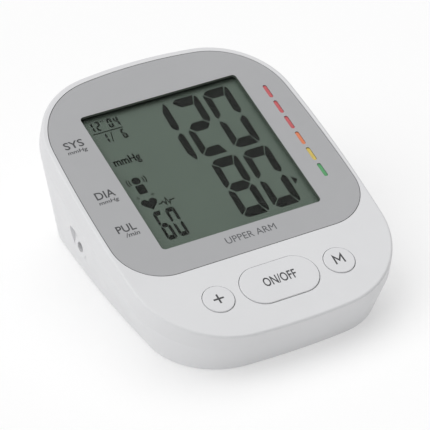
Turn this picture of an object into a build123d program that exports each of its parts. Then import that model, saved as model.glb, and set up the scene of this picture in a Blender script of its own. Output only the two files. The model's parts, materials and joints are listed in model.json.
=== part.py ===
"""Upper arm blood pressure monitor: a wedge-shaped desk unit with a sloping display panel.

Millimetres. X runs to the user's right, Y away from the user, Z up. The origin is the centre
of the footprint box on the table. The sloping panel has its own coordinates: u to the right,
v up the slope, and depth below the panel's surface.
"""

import os
from math import cos, radians, sin

from build123d import *

# Housing
panel_tilt = 17.56          # slope of the panel, rising to the back
panel_y = 11.25             # panel centre (the display's centre)
panel_z = 43.0
foot_height = 1.0           # the rubber feet stand proud by this much
band_height = 7.5           # from the panel down to the widest line of the case
wall = 2.4
top_wall = 3.4
rim_round = 1.0
rim_angles = (0, 18, 36, 54, 72, 90)
hollow_lean = 0.5           # the hollow's top edge lies this much nearer the outside
opening_margin = 4.25       # the display opening is larger than the window by this, all round
opening_corner = 2.5
cut_margin = 1.0            # cuts run past a surface by this much
through_height = 200.0      # more than the case's height
overlap = 0.2               # joined solids run into each other by this much
slip_fit = 0.05

# Outlines seen square to the panel, or from above for the base: front end, back end, largest
# half width and its place, front arc's radius, radii of the front and the back corners
border_outline = (-82.4, 54.9, 53.8, -15.0, 260.0, 36.0, 32.5)
crease_outline = (-82.4, 56.4, 54.5, -17.0, 260.0, 36.0, 36.5)
base_outline = (-61.5, 60.5, 46.1, -15.0, 260.0, 27.0, 14.0)
plate_outline = (-46.5, 52.2, 51.65, -20.0, 100000.0, 18.5, 30.0)
side_arc = 600.0            # radius of the bowed sides
back_arc = 175.0

# Display
window_width = 67.5
window_height = 69.5
window_corner = 1.6
pane_margin = 2.0
pane_corner = 1.5
facecontact_thickness = 1.2
faceplate_gap = 0.3
pocket_depth = 1.25
pane_thickness = 1.0
glass_width = 71.0
glass_height = 73.0
glass_depth = 2.3
glass_thickness = 2.4
glass_gap = 0.2
frame_size = 77.0
frame_corner = 3.0
frame_depth = 3.55
frame_ledge_u = 6.0
frame_ledge_v = 7.0
strip_length = 62.0
strip_width = 2.4
strip_inset = 3.0
strip_gap = 0.2

# Circuit board and its parts
board_depth = 10.0
board_thickness = 1.6
board_half = [(31.0, -72.0), (31.0, -40.0), (35.5, -36.0), (35.5, 33.0), (27.5, 38.0), (27.5, 44.5)]
chip_v = 2.0
chip_size = 12.0
chip_thickness = 1.4
chip_pitch = 1.0
chip_leads_per_side = 10
chip_lead_length = 1.6
chip_lead_width = 0.4
chip_lead_thickness = 0.5
small_part_places = [(-14, 6), (-14, 0), (14, 8), (14, 3), (14, -3), (4, -12), (-4, -12)]
small_part_length = 3.2
small_part_width = 1.6
small_part_height = 1.0
crystal_place = (-13.0, -8.0)
crystal_length = 11.0
crystal_width = 4.6
crystal_height = 3.2
capacitor_places = [(8.0, -58.0), (-10.0, -58.0)]
capacitor_radius = 3.0
capacitor_height = 5.5
header_places = [(25.0, 4.0), (25.0, 16.0), (-28.0, -8.0)]
header_length = 7.5
header_width = 5.0
header_height = 2.2
buzzer_place = (17.0, -50.0)
buzzer_radius = 5.0
buzzer_height = 3.0
buzzer_hole_radius = 1.0
buzzer_hole_depth = 1.5
sensor_u = -20.0
sensor_v = 11.4
sensor_size = 8.0
sensor_height = 4.6
sensor_port_u = -23.5
sensor_port_height = 2.5
sensor_port_length = 8.0
switch_size = 6.0
switch_height = 3.4
switch_hole_radius = 1.75
switch_hole_depth = 2.4

# Level marks beside the display, one column of six
mark_u = 41.85
mark_centre_v = 0.5
mark_pitch = 8.65
mark_length = 6.9
mark_width = 1.7
mark_sink = 0.35
mark_gap = 0.05
mark_foot_margin = 0.6
mark_foot_thickness = 0.6
mark_pocket_margin = 0.8
mark_pocket_depth = 0.65

# Buttons
button_v = -62.5
round_button_u = 25.4
round_button_radius = 5.95
power_length = 31.5
power_width = 17.2
button_gap = 0.25
flange_margin = 0.8
flange_thickness = 1.0
flange_gap = 0.3
stem_radius = 2.2
dome_rise = 0.35
dome_round = 0.315
plunger_radius = 1.7
plunger_length = 2.4
plunger_rise = 0.8          # the plungers stand out of their switches by this much

# Battery bay: four AA cells side by side
cell_radius = 7.1
cell_length = 49.4
nub_radius = 2.75
nub_length = 1.1
cell_pitch = 15.0
bay_half_width = 30.4
bay_front = -18.0
bay_length = 57.0
bay_roof = 18.0
bay_roof_thickness = 1.2
bay_wall = 1.5
cell_z = 10.4
contact_thickness = 0.4
contact_width = 8.0
contact_height = 9.0
tag_size = 2.0
tag_slot_size = 3.0
tag_slot_length = 5.0
coil_radii = (4.6, 3.9, 3.2, 2.5)
coil_pitch = 1.6
coil_wire_width = 0.9
coil_wire_height = 0.5

# Bottom cover and battery door
cover_thickness = 2.2
cover_gap = 0.2
door_thickness = 1.6
door_gap = 0.3
hinge_radius = 0.8
hinge_inset = 0.7           # the hinge line lies this far in front of the bay
hinge_rise = 0.9
pin_radius = 0.55
pin_reach = 1.8
pin_hole_radius = 0.6
pin_hole_reach = 2.2
door_side_margin = 0.6
door_back_margin = 1.7
latch_half_width = 6.0
latch_length = 9.0
latch_slit = 0.8
rib_width = 9.0
rib_thickness = 1.2
rib_height = 0.2
grip_start = 12.0
grip_pitch = 2.2
grip_count = 5
grip_width = 18.0
grip_taper = 2.0
grip_groove = 0.8
finger_radius = 4.6
finger_width = 14.0
finger_back = 1.0
finger_drop = 3.2

# Screws: housing screws go up from the cover, board screws go into posts under the panel
boss_places = [(-36.0, -43.0), (36.0, -43.0), (-27.5, 51.0), (27.5, 51.0)]
boss_tops = [23.6, 23.6, 53.0, 53.0]
boss_radius = 3.0
screw_radius = 1.25
screw_head_radius = 2.4
screw_head_height = 1.2
screw_length = 11.0
screw_clear_radius = 1.45
screw_head_gap = 0.2
recess_length = 2.8
recess_width = 0.6
recess_depth = 0.6
post_places = [(-28.3, -50.5), (28.3, -50.5), (-19.0, 41.5), (19.0, 41.5)]
post_radius = 2.2
boss_gap = 0.5
board_screw_radius = 0.85
board_screw_gap = 0.15
board_screw_length = 6.0
board_screw_head_radius = 1.6
board_screw_head_height = 1.0
board_recess_length = 1.9
board_recess_width = 0.4
board_recess_depth = 0.5
post_hole_depth = 5.5

# Feet
foot_places = [(-28.5, -48.5), (28.5, -48.5), (-20.0, 51.0), (20.0, 51.0)]
foot_radius = 4.0
foot_socket_depth = 0.8
foot_round = 0.4

# Air socket in the left wall
socket_y = 16.0
socket_z = 16.5
scoop_floor_x = -48.2
scoop_width = 11.0
scoop_height = 18.0
scoop_reach = 8.0
scoop_taper = 8.0
pad_inner_x = -43.5
pad_top_x = -50.6
pad_bottom_x = -45.3
pad_bottom = 5.0
pad_top = 28.0
pad_half_width = 7.5
socket_bore_radius = 2.1
socket_bore_depth = 10.0
socket_body_radius = 3.4
socket_body_gap = 0.02
socket_flange_margin = 0.9
socket_flange_thickness = 0.6
socket_body_reach = 3.0     # the body runs past the air lines' plane by this much
socket_barb_length = 8.0
air_line_x = -37.0          # the plane that the internal air lines run in

# Air lines
tube_radius = 2.0
barb_radius = 1.2
manifold_front = 24.0
manifold_back = 36.5
manifold_radius = 2.6
barb_length = 2.5
passage_radius = 0.6
branch_length = 6.5
drop_length = 7.0
tube_gap = 0.3
tube_bend = 5.0
sensor_tube_end_x = -24.3

# Pump, along X behind and above the battery bay
pump_y = 44.5
pump_z = 30.0
motor_radius = 9.0
motor_length = 24.0
motor_wall = 0.8
sleeve_start = 2.0
sleeve_length = 21.0
sleeve_thickness = 1.0
cradle_rib_places = (4.0, 20.0)
cradle_rib_width = 19.6
cradle_rib_thickness = 1.6
end_plate_thickness = 2.0
bearing_radius = 2.5
bearing_proud = 0.2
front_bearing_length = 2.6
back_bearing_length = 2.0
magnet_start = 4.5
magnet_length = 14.0
magnet_inner_radius = 6.4
magnet_gap = 0.02
magnet_split = 6.0
armature_start = 5.5
armature_length = 12.0
armature_radius = 5.9
armature_rim_radius = 4.7
armature_hub_radius = 2.4
pole_middle = 2.8
pole_length = 5.0
pole_width = 1.8
pole_slot_middle = 5.2
pole_slot_length = 2.4
pole_slot_width = 1.2
commutator_start = 18.0
commutator_length = 3.4
commutator_radius = 2.2
winding_start = 4.7
winding_length = 13.3
winding_middle = 3.35
winding_side = 1.5
winding_width = 1.7
winding_height = 1.0
head_gap = 0.2
head_body_length = 12.8
head_floor = 1.2
head_wall = 1.4
head_hole_radius = 2.6
head_length = 20.0
shaft_radius = 1.0
shaft_clearance = 0.05
shaft_reach = 6.0           # from the motor's face out into the pump head
shaft_length = 30.4
cam_offset = 1.2
cam_radius = 3.2
cam_length = 4.0
diaphragm_start = 13.0
diaphragm_thickness = 1.0
cup_circle = 4.2
cup_radius = 2.4
cup_height = 3.0
cup_stem_radius = 0.8
cup_stem_length = 1.6
rocker_start = 8.4
rocker_thickness = 1.2
rocker_radius = 6.6
rocker_notch_circle = 7.2
rocker_notch_radius = 2.6
cap_wall = 1.6
cap_hollow = 3.5
outlet_offset = 1.1
outlet_radius = 2.0
outlet_length = 4.0
outlet_barb_length = 4.0

# Exhaust valve, upright in the left channel
valve_y = 31.0
valve_size = 8.5
valve_floor = 4.0
valve_top = 20.0
valve_gap = 0.1
valve_seat_wall = 0.7
valve_seat_height = 4.0
yoke_plate = 1.0
yoke_side_wall = 1.0
coil_radius = 3.2
coil_inner_radius = 1.8
plunger_rod_radius = 1.72
plunger_rod_start = 4.0
plunger_rod_length = 10.4
valve_spring_radius = 1.3
valve_spring_wire = 0.15
valve_spring_turns = 4
nozzle_radius = 3.6
nozzle_thickness = 3.0
nozzle_barb_length = 4.0
chamber_radius = 2.1
chamber_height = 2.2
vent_radius = 0.5
vent_drop = 1.9

# Leads
lead_radius = 0.6
bend_share = 0.45
lead_side_x = 25.6          # the battery leads go up beside the bay here

tilt_sin = sin(radians(panel_tilt))
tilt_cos = cos(radians(panel_tilt))
panel_axis = Axis((0, 0, 0), (0, -tilt_sin, tilt_cos))


def panel_plane(depth, u=0.0, v=0.0):
    """Plane parallel to the panel at a depth below it, with its origin at u, v."""
    origin = (
        u,
        panel_y + v * tilt_cos + depth * tilt_sin,
        panel_z + v * tilt_sin - depth * tilt_cos,
    )
    return Plane(origin=origin, x_dir=(1, 0, 0), z_dir=(0, -tilt_sin, tilt_cos))


def case_outline(shape, inset=0.0):
    """Closed outline with gently bowed sides and ends and large round corners, about u = 0.

    shape is one of the outlines above, and all of it moves in by inset.
    """
    front, back, widest, widest_at, front_arc, front_corner, back_corner = shape
    front += inset
    back -= inset
    widest -= inset

    def side_u(v):
        return widest - (v - widest_at) ** 2 / (2 * side_arc)

    front_v = front + side_u(front) ** 2 / (2 * front_arc)
    front_u = side_u(front_v)
    back_v = back - side_u(back) ** 2 / (2 * back_arc)
    back_u = side_u(back_v)
    with BuildSketch(mode=Mode.PRIVATE) as outline:
        with BuildLine():
            ThreePointArc((-front_u, front_v), (0, front), (front_u, front_v))
            ThreePointArc((front_u, front_v), (widest, widest_at), (back_u, back_v))
            ThreePointArc((back_u, back_v), (0, back), (-back_u, back_v))
            ThreePointArc((-back_u, back_v), (-widest, widest_at), (-front_u, front_v))
        make_face()
        corners = outline.vertices().sort_by(Axis.Y)
        fillet(corners[:2], front_corner - inset)
        corners = outline.vertices().sort_by(Axis.Y)
        fillet(corners[-2:], back_corner - inset)
    return outline.sketch


def spot(places, height):
    """Locations at a list of x, y places and one height."""
    return Locations(*[(x, y, height) for x, y in places])


def save(name, piece):
    piece.part.label = name
    export_step(piece.part, f"parts/{name}.step")


os.makedirs("parts", exist_ok=True)

crease_plane = panel_plane(band_height)
base_plane = Plane.XY.offset(foot_height)
cover_top = foot_height + cover_thickness
bay_back = bay_front + bay_length
bay_middle = bay_front + bay_length / 2
cell_xs = [cell_pitch * (i - 1.5) for i in range(4)]
door_ledge = foot_height + door_thickness + door_gap
hinge_y = bay_front - hinge_inset
hinge_z = foot_height + hinge_rise
door_back = bay_back + door_back_margin
door_half_width = bay_half_width + door_side_margin
switch_depth = board_depth - switch_height
board_back = board_depth + board_thickness
sensor_axis_depth = board_back + sensor_port_height
flange_depth = top_wall + flange_gap
socket_centre = (scoop_floor_x, socket_y, socket_z)
stem_end = switch_depth - plunger_rise
branch_y = panel_y + sensor_v * tilt_cos + sensor_axis_depth * tilt_sin
outlet_y = pump_y + outlet_offset
manifold_z = panel_z + sensor_v * tilt_sin - sensor_axis_depth * tilt_cos
mark_places = [(mark_u, mark_centre_v + mark_pitch * (2.5 - i)) for i in range(6)]
switch_places = [(-round_button_u, button_v), (round_button_u, button_v), (0, button_v)]
round_places = switch_places[:2]

# ---------------------------------------------------------------- housing

with BuildPart() as upper_housing:
    # Walls taper in from the widest line down to the base
    with BuildSketch(base_plane):
        add(case_outline(base_outline))
    with BuildSketch(crease_plane):
        add(case_outline(crease_outline))
    loft(ruled=True)
    # The band leans in a little up to the rounded rim of the panel
    with BuildSketch(crease_plane):
        add(case_outline(crease_outline))
    with BuildSketch(panel_plane(rim_round)):
        add(case_outline(border_outline))
    loft(ruled=True)
    for lower, upper in zip(rim_angles, rim_angles[1:]):
        for angle in (lower, upper):
            with BuildSketch(panel_plane(rim_round * (1 - sin(radians(angle))))):
                add(case_outline(border_outline, rim_round * (1 - cos(radians(angle)))))
        loft(ruled=True)
    # Hollow inside
    with BuildSketch(base_plane):
        add(case_outline(base_outline, wall))
    with BuildSketch(crease_plane):
        add(case_outline(crease_outline, wall))
    loft(ruled=True, mode=Mode.SUBTRACT)
    with BuildSketch(crease_plane):
        add(case_outline(crease_outline, wall))
    with BuildSketch(panel_plane(top_wall)):
        add(case_outline(border_outline, wall - hollow_lean))
    loft(ruled=True, mode=Mode.SUBTRACT)
    # Screw bosses
    for place, top in zip(boss_places, boss_tops):
        with Locations((place[0], place[1], cover_top)):
            Cylinder(boss_radius, top - cover_top, align=(Align.CENTER, Align.CENTER, Align.MIN))
    # Board posts under the panel
    with BuildSketch(panel_plane(top_wall)):
        with Locations(*post_places):
            Circle(post_radius)
    extrude(amount=-(board_depth - top_wall))
    # Thicker wall behind the air socket
    with BuildSketch(Plane.XZ.offset(-socket_y)):
        with BuildLine():
            Polyline(
                (pad_inner_x, pad_bottom), (pad_inner_x, pad_top),
                (pad_top_x, pad_top), (pad_bottom_x, pad_bottom), close=True,
            )
        make_face()
    extrude(amount=pad_half_width, both=True)
    # Faceplate pocket and display opening
    with BuildSketch(panel_plane(0)):
        add(case_outline(plate_outline, -faceplate_gap))
    extrude(amount=-pocket_depth, mode=Mode.SUBTRACT)
    with BuildSketch(panel_plane(0)):
        RectangleRounded(
            window_width + 2 * opening_margin, window_height + 2 * opening_margin, opening_corner
        )
    extrude(amount=-top_wall - cut_margin, mode=Mode.SUBTRACT)
    # Pockets for the level marks' feet
    with BuildSketch(panel_plane(pocket_depth)):
        with Locations(*mark_places):
            SlotOverall(
                mark_length + 2 * mark_pocket_margin, mark_width + 2 * mark_pocket_margin, rotation=90
            )
    extrude(amount=-mark_pocket_depth, mode=Mode.SUBTRACT)
    # Button openings
    with BuildSketch(panel_plane(0)):
        with Locations(*round_places):
            Circle(round_button_radius + button_gap)
        with Locations((0, button_v)):
            SlotOverall(power_length + 2 * button_gap, power_width + 2 * button_gap)
    extrude(amount=-top_wall - cut_margin, mode=Mode.SUBTRACT)
    # Screw holes
    for x, y in boss_places:
        with Locations((x, y, cover_top)):
            Cylinder(
                screw_radius, screw_length,
                align=(Align.CENTER, Align.CENTER, Align.MIN), mode=Mode.SUBTRACT,
            )
    with BuildSketch(panel_plane(board_depth)):
        with Locations(*post_places):
            Circle(board_screw_radius)
    extrude(amount=post_hole_depth, mode=Mode.SUBTRACT)
    # Scoop in the left wall, deepest at its top, and the air socket's hole in its floor
    with BuildSketch(Plane(origin=socket_centre, x_dir=(0, -1, 0), z_dir=(-1, 0, 0))):
        SlotOverall(scoop_height, scoop_width, rotation=90)
    extrude(amount=scoop_reach, taper=-scoop_taper, mode=Mode.SUBTRACT)
    with Locations(Location(socket_centre, (0, 90, 0))):
        Cylinder(socket_body_radius, 3 * socket_bore_depth, mode=Mode.SUBTRACT)
save("upper_housing", upper_housing)

with BuildPart() as lower_housing:
    with BuildSketch(base_plane):
        add(case_outline(base_outline, wall + cover_gap))
    extrude(amount=cover_thickness)
    # Battery bay walls and roof
    with Locations((0, bay_middle, foot_height)):
        Box(
            2 * (bay_half_width + bay_wall),
            bay_length + 2 * bay_wall,
            bay_roof + bay_roof_thickness - foot_height,
            align=(Align.CENTER, Align.CENTER, Align.MIN),
        )
    # Pump cradle ribs
    for x in cradle_rib_places:
        with BuildSketch(Plane.YZ.offset(x)):
            with Locations((pump_y, cover_top - overlap)):
                Rectangle(cradle_rib_width, pump_z - cover_top, align=(Align.CENTER, Align.MIN))
        extrude(amount=cradle_rib_thickness)
    # Valve seat walls
    with Locations((air_line_x, valve_y, cover_top - overlap)):
        Box(
            valve_size + 2 * valve_seat_wall, valve_size + 2 * valve_seat_wall, valve_seat_height,
            align=(Align.CENTER, Align.CENTER, Align.MIN),
        )
    with Locations((air_line_x, valve_y, valve_floor)):
        Box(
            valve_size + 2 * valve_gap, valve_size + 2 * valve_gap, valve_size,
            align=(Align.CENTER, Align.CENTER, Align.MIN), mode=Mode.SUBTRACT,
        )
    # Cradle hollow for the pump and its sleeve
    with Locations(Location((motor_length / 2, pump_y, pump_z), (0, 90, 0))):
        Cylinder(
            motor_radius + sleeve_thickness + slip_fit, motor_length + 2 * overlap,
            mode=Mode.SUBTRACT,
        )
    # Bay interior, then the door's opening below its ledge
    with Locations((0, bay_middle, foot_height - cut_margin)):
        Box(
            2 * bay_half_width, bay_length, bay_roof + cut_margin - foot_height,
            align=(Align.CENTER, Align.CENTER, Align.MIN), mode=Mode.SUBTRACT,
        )
    with Locations((0, hinge_y - hinge_radius - door_gap, foot_height - cut_margin)):
        Box(
            2 * (door_half_width + door_gap),
            door_back + door_gap - hinge_y + hinge_radius + door_gap,
            door_ledge - foot_height + cut_margin,
            align=(Align.CENTER, Align.MIN, Align.MIN), mode=Mode.SUBTRACT,
        )
    # Hinge pin holes at both ends of the door's front edge
    with Locations(Location((0, hinge_y, hinge_z), (0, 90, 0))):
        Cylinder(pin_hole_radius, 2 * (door_half_width + pin_hole_reach), mode=Mode.SUBTRACT)
    # Finger scoop behind the door
    with Locations(Location((0, door_back + finger_back, foot_height - finger_drop), (0, 90, 0))):
        Cylinder(finger_radius, finger_width, mode=Mode.SUBTRACT)
    # Screw holes with head recesses
    for x, y in boss_places:
        with Locations((x, y, foot_height)):
            Cylinder(screw_clear_radius, 2 * screw_length, mode=Mode.SUBTRACT)
            Cylinder(screw_head_radius + screw_head_gap, 2 * screw_head_height, mode=Mode.SUBTRACT)
    # Sockets for the feet
    with spot(foot_places, foot_height):
        Cylinder(foot_radius, 2 * foot_socket_depth, mode=Mode.SUBTRACT)
    # Slots for the two outer contacts' solder tags
    with Locations(*[(x, bay_back, cell_z) for x in (cell_xs[0], cell_xs[-1])]):
        Box(tag_slot_size, tag_slot_length, tag_slot_size, mode=Mode.SUBTRACT)
save("lower_housing", lower_housing)

with BuildPart() as battery_door:
    with Locations((0, hinge_y, foot_height)):
        Box(
            2 * door_half_width, door_back - hinge_y, door_thickness,
            align=(Align.CENTER, Align.MIN, Align.MIN),
        )
    # Rounded hinge edge and its two pins
    with Locations(Location((0, hinge_y, hinge_z), (0, 90, 0))):
        Cylinder(hinge_radius, 2 * door_half_width)
    with Locations(Location((0, hinge_y, hinge_z), (0, 90, 0))):
        Cylinder(pin_radius, 2 * (door_half_width + pin_reach))
    # Spring tongue of the latch, cut free on both sides, with its rib
    for x in (-latch_half_width, latch_half_width):
        with Locations((x, door_back, foot_height)):
            Box(latch_slit, 2 * latch_length, 4 * door_thickness, mode=Mode.SUBTRACT)
    with Locations((0, door_back - rib_thickness, foot_height + door_thickness)):
        Box(rib_width, rib_thickness, rib_height, align=(Align.CENTER, Align.CENTER, Align.MIN))
    # Grip grooves in the outside, shorter toward the front
    for i in range(grip_count):
        with Locations((0, door_back - grip_start - grip_pitch * i, foot_height)):
            Box(grip_width - grip_taper * i, grip_groove, grip_groove, mode=Mode.SUBTRACT)
save("battery_door", battery_door)

with BuildPart() as housing_screws:
    for x, y in boss_places:
        with Locations((x, y, foot_height + slip_fit)):
            Cylinder(
                screw_head_radius, screw_head_height - 2 * slip_fit,
                align=(Align.CENTER, Align.CENTER, Align.MIN),
            )
        with Locations((x, y, foot_height + screw_head_height - overlap)):
            Cylinder(screw_radius, screw_length, align=(Align.CENTER, Align.CENTER, Align.MIN))
        with Locations((x, y, foot_height)):
            Box(recess_length, recess_width, 2 * recess_depth, mode=Mode.SUBTRACT)
            Box(recess_width, recess_length, 2 * recess_depth, mode=Mode.SUBTRACT)
save("housing_screws", housing_screws)

with BuildPart() as rubber_feet:
    with spot(foot_places, 0):
        Cylinder(
            foot_radius - slip_fit, foot_height + foot_socket_depth,
            align=(Align.CENTER, Align.CENTER, Align.MIN),
        )
    fillet(rubber_feet.edges().group_by(Axis.Z)[0], foot_round)
save("rubber_feet", rubber_feet)

# ---------------------------------------------------------------- display panel

with BuildPart() as display_faceplate:
    with BuildSketch(panel_plane(facecontact_thickness)):
        add(case_outline(plate_outline))
        RectangleRounded(window_width, window_height, window_corner, mode=Mode.SUBTRACT)
        with Locations(*mark_places):
            SlotOverall(mark_length, mark_width, rotation=90, mode=Mode.SUBTRACT)
    extrude(amount=facecontact_thickness)
save("display_faceplate", display_faceplate)

mark_nodes = {
    "red_level_marks": mark_places[:3],
    "orange_level_mark": mark_places[3:4],
    "yellow_level_mark": mark_places[4:5],
    "green_level_mark": mark_places[5:],
}
for mark_name, places in mark_nodes.items():
    with BuildPart() as level_mark:
        with BuildSketch(panel_plane(facecontact_thickness)):
            with Locations(*places):
                SlotOverall(mark_length - 2 * mark_gap, mark_width - 2 * mark_gap, rotation=90)
        extrude(amount=facecontact_thickness - mark_sink)
        with BuildSketch(panel_plane(facecontact_thickness)):
            with Locations(*places):
                SlotOverall(
                    mark_length + 2 * mark_foot_margin, mark_width + 2 * mark_foot_margin, rotation=90
                )
        extrude(amount=-mark_foot_thickness)
    save(mark_name, level_mark)

with BuildPart() as display_window:
    with BuildSketch(panel_plane(pocket_depth)):
        RectangleRounded(window_width + 2 * pane_margin, window_height + 2 * pane_margin, pane_corner)
    extrude(amount=-pane_thickness)
save("display_window", display_window)

with BuildPart() as lcd_glass:
    with BuildSketch(panel_plane(glass_depth)):
        Rectangle(glass_width, glass_height)
    extrude(amount=-glass_thickness)
save("lcd_glass", lcd_glass)

strip_v = glass_height / 2 - strip_inset
with BuildPart() as lcd_frame:
    with BuildSketch(panel_plane(frame_depth)):
        RectangleRounded(frame_size, frame_size, frame_corner)
    extrude(amount=-(board_depth - frame_depth))
    with BuildSketch(panel_plane(frame_depth)):
        Rectangle(glass_width + 2 * glass_gap, glass_height + 2 * glass_gap)
    extrude(amount=-(glass_depth + glass_thickness - frame_depth + slip_fit), mode=Mode.SUBTRACT)
    with BuildSketch(panel_plane(frame_depth)):
        Rectangle(glass_width - 2 * frame_ledge_u, glass_height - 2 * frame_ledge_v)
        with Locations((0, strip_v), (0, -strip_v)):
            Rectangle(strip_length + 5 * strip_gap, strip_width + 2 * strip_gap)
    extrude(amount=-board_depth, mode=Mode.SUBTRACT)
    for x, y in boss_places:
        with Locations((x, y, 0)):
            Cylinder(boss_radius + boss_gap, through_height, mode=Mode.SUBTRACT)
save("lcd_frame", lcd_frame)

with BuildPart() as zebra_strips:
    with BuildSketch(panel_plane(board_depth)):
        with Locations((0, strip_v), (0, -strip_v)):
            Rectangle(strip_length, strip_width)
    extrude(amount=board_depth - glass_depth - glass_thickness)
save("zebra_strips", zebra_strips)

# ---------------------------------------------------------------- circuit board

with BuildPart() as main_board:
    with BuildSketch(panel_plane(board_depth)):
        with BuildLine():
            Polyline(*board_half, *[(-u, v) for u, v in reversed(board_half)], close=True)
        make_face()
        with Locations(*post_places):
            Circle(board_screw_radius + board_screw_gap, mode=Mode.SUBTRACT)
    extrude(amount=-board_thickness)
    for x, y in boss_places:
        with Locations((x, y, 0)):
            Cylinder(boss_radius + boss_gap, through_height, mode=Mode.SUBTRACT)
save("main_board", main_board)

with BuildPart() as board_screws:
    with BuildSketch(panel_plane(board_back)):
        with Locations(*post_places):
            Circle(board_screw_head_radius)
    extrude(amount=-board_screw_head_height)
    with BuildSketch(panel_plane(board_back)):
        with Locations(*post_places):
            Circle(board_screw_radius)
    extrude(amount=board_screw_length)
    with BuildSketch(panel_plane(board_back + board_screw_head_height)):
        with Locations(*post_places):
            Rectangle(board_recess_length, board_recess_width)
            Rectangle(board_recess_width, board_recess_length)
    extrude(amount=board_recess_depth, mode=Mode.SUBTRACT)
save("board_screws", board_screws)

chip_lead_spread = chip_size + chip_lead_length - overlap
with BuildPart() as microcontroller:
    with BuildSketch(panel_plane(board_back)):
        with Locations((0, chip_v)):
            Rectangle(chip_size, chip_size)
    extrude(amount=-chip_thickness)
    # Leads on all four sides
    with BuildSketch(panel_plane(board_back)):
        with Locations((0, chip_v)):
            with GridLocations(chip_pitch, chip_lead_spread, chip_leads_per_side, 2):
                Rectangle(chip_lead_width, chip_lead_length)
            with GridLocations(chip_lead_spread, chip_pitch, 2, chip_leads_per_side):
                Rectangle(chip_lead_length, chip_lead_width)
    extrude(amount=-chip_lead_thickness)
save("microcontroller", microcontroller)

with BuildPart() as board_components:
    # Chip capacitors and resistors
    with BuildSketch(panel_plane(board_back)):
        with Locations(*small_part_places):
            Rectangle(small_part_length, small_part_width)
    extrude(amount=-small_part_height)
    # Crystal
    with BuildSketch(panel_plane(board_back)):
        with Locations(crystal_place):
            SlotOverall(crystal_length, crystal_width)
    extrude(amount=-crystal_height)
    # Electrolytic capacitors
    with BuildSketch(panel_plane(board_back)):
        with Locations(*capacitor_places):
            Circle(capacitor_radius)
    extrude(amount=-capacitor_height)
    # Plug headers for the leads
    with BuildSketch(panel_plane(board_back)):
        with Locations(*header_places):
            Rectangle(header_length, header_width)
    extrude(amount=-header_height)
save("board_components", board_components)

with BuildPart() as buzzer:
    with BuildSketch(panel_plane(board_back)):
        with Locations(buzzer_place):
            Circle(buzzer_radius)
    extrude(amount=-buzzer_height)
    with BuildSketch(panel_plane(board_back + buzzer_height)):
        with Locations(buzzer_place):
            Circle(buzzer_hole_radius)
    extrude(amount=buzzer_hole_depth, mode=Mode.SUBTRACT)
save("buzzer", buzzer)

with BuildPart() as pressure_sensor:
    with BuildSketch(panel_plane(board_back)):
        with Locations((sensor_u, sensor_v)):
            Rectangle(sensor_size, sensor_size)
    extrude(amount=-sensor_height)
    port_plane = panel_plane(sensor_axis_depth, sensor_port_u, sensor_v)
    with Locations(port_plane.location * Location((0, 0, 0), (0, 90, 0))):
        Cylinder(barb_radius, sensor_port_length)
save("pressure_sensor", pressure_sensor)

with BuildPart() as tactile_switches:
    with BuildSketch(panel_plane(board_depth)):
        with Locations(*switch_places):
            Rectangle(switch_size, switch_size)
    extrude(amount=switch_height)
    with BuildSketch(panel_plane(switch_depth)):
        with Locations(*switch_places):
            Circle(switch_hole_radius)
    extrude(amount=-switch_hole_depth, mode=Mode.SUBTRACT)
save("tactile_switches", tactile_switches)

# ---------------------------------------------------------------- buttons

with BuildPart() as power_button:
    with BuildSketch(panel_plane(flange_depth)):
        with Locations((0, button_v)):
            SlotOverall(power_length, power_width)
    extrude(amount=flange_depth + dome_rise)
    fillet(power_button.faces().sort_by(panel_axis)[-1].edges(), dome_round)
    with BuildSketch(panel_plane(flange_depth)):
        with Locations((0, button_v)):
            SlotOverall(power_length + 2 * flange_margin, power_width + 2 * flange_margin)
    extrude(amount=-flange_thickness)
    with BuildSketch(panel_plane(flange_depth)):
        with Locations((0, button_v)):
            Circle(stem_radius)
    extrude(amount=flange_depth - stem_end)
save("power_button", power_button)

for button_name, button_u in (("plus_button", -round_button_u), ("memory_button", round_button_u)):
    with BuildPart() as round_button:
        with BuildSketch(panel_plane(flange_depth, button_u, button_v)):
            Circle(round_button_radius)
        extrude(amount=flange_depth + dome_rise)
        fillet(round_button.faces().sort_by(panel_axis)[-1].edges(), dome_round)
        with BuildSketch(panel_plane(flange_depth, button_u, button_v)):
            Circle(round_button_radius + flange_margin)
        extrude(amount=-flange_thickness)
        with BuildSketch(panel_plane(flange_depth, button_u, button_v)):
            Circle(stem_radius)
        extrude(amount=flange_depth - stem_end)
    save(button_name, round_button)

plungers = (("power", 0.0), ("plus", -round_button_u), ("memory", round_button_u))
for plunger_name, plunger_u in plungers:
    with BuildPart() as plunger:
        with BuildSketch(panel_plane(stem_end, plunger_u, button_v)):
            Circle(plunger_radius)
        extrude(amount=-plunger_length)
    save(f"{plunger_name}_switch_plunger", plunger)

# ---------------------------------------------------------------- power

front_plate_y = bay_front + contact_thickness
back_plate_y = bay_back - contact_thickness

with BuildPart() as battery_cells:
    for i, x in enumerate(cell_xs):
        # Neighbouring cells lie in opposite directions
        nub_dir = 1 if i % 2 == 0 else -1
        nub_y = back_plate_y if nub_dir > 0 else front_plate_y
        nub_plane = Plane(origin=(x, nub_y, cell_z), x_dir=(1, 0, 0), z_dir=(0, -nub_dir, 0))
        with BuildSketch(nub_plane):
            Circle(nub_radius)
        extrude(amount=nub_length)
        with BuildSketch(nub_plane.offset(nub_length)):
            Circle(cell_radius)
        extrude(amount=cell_length)
save("battery_cells", battery_cells)

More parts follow.
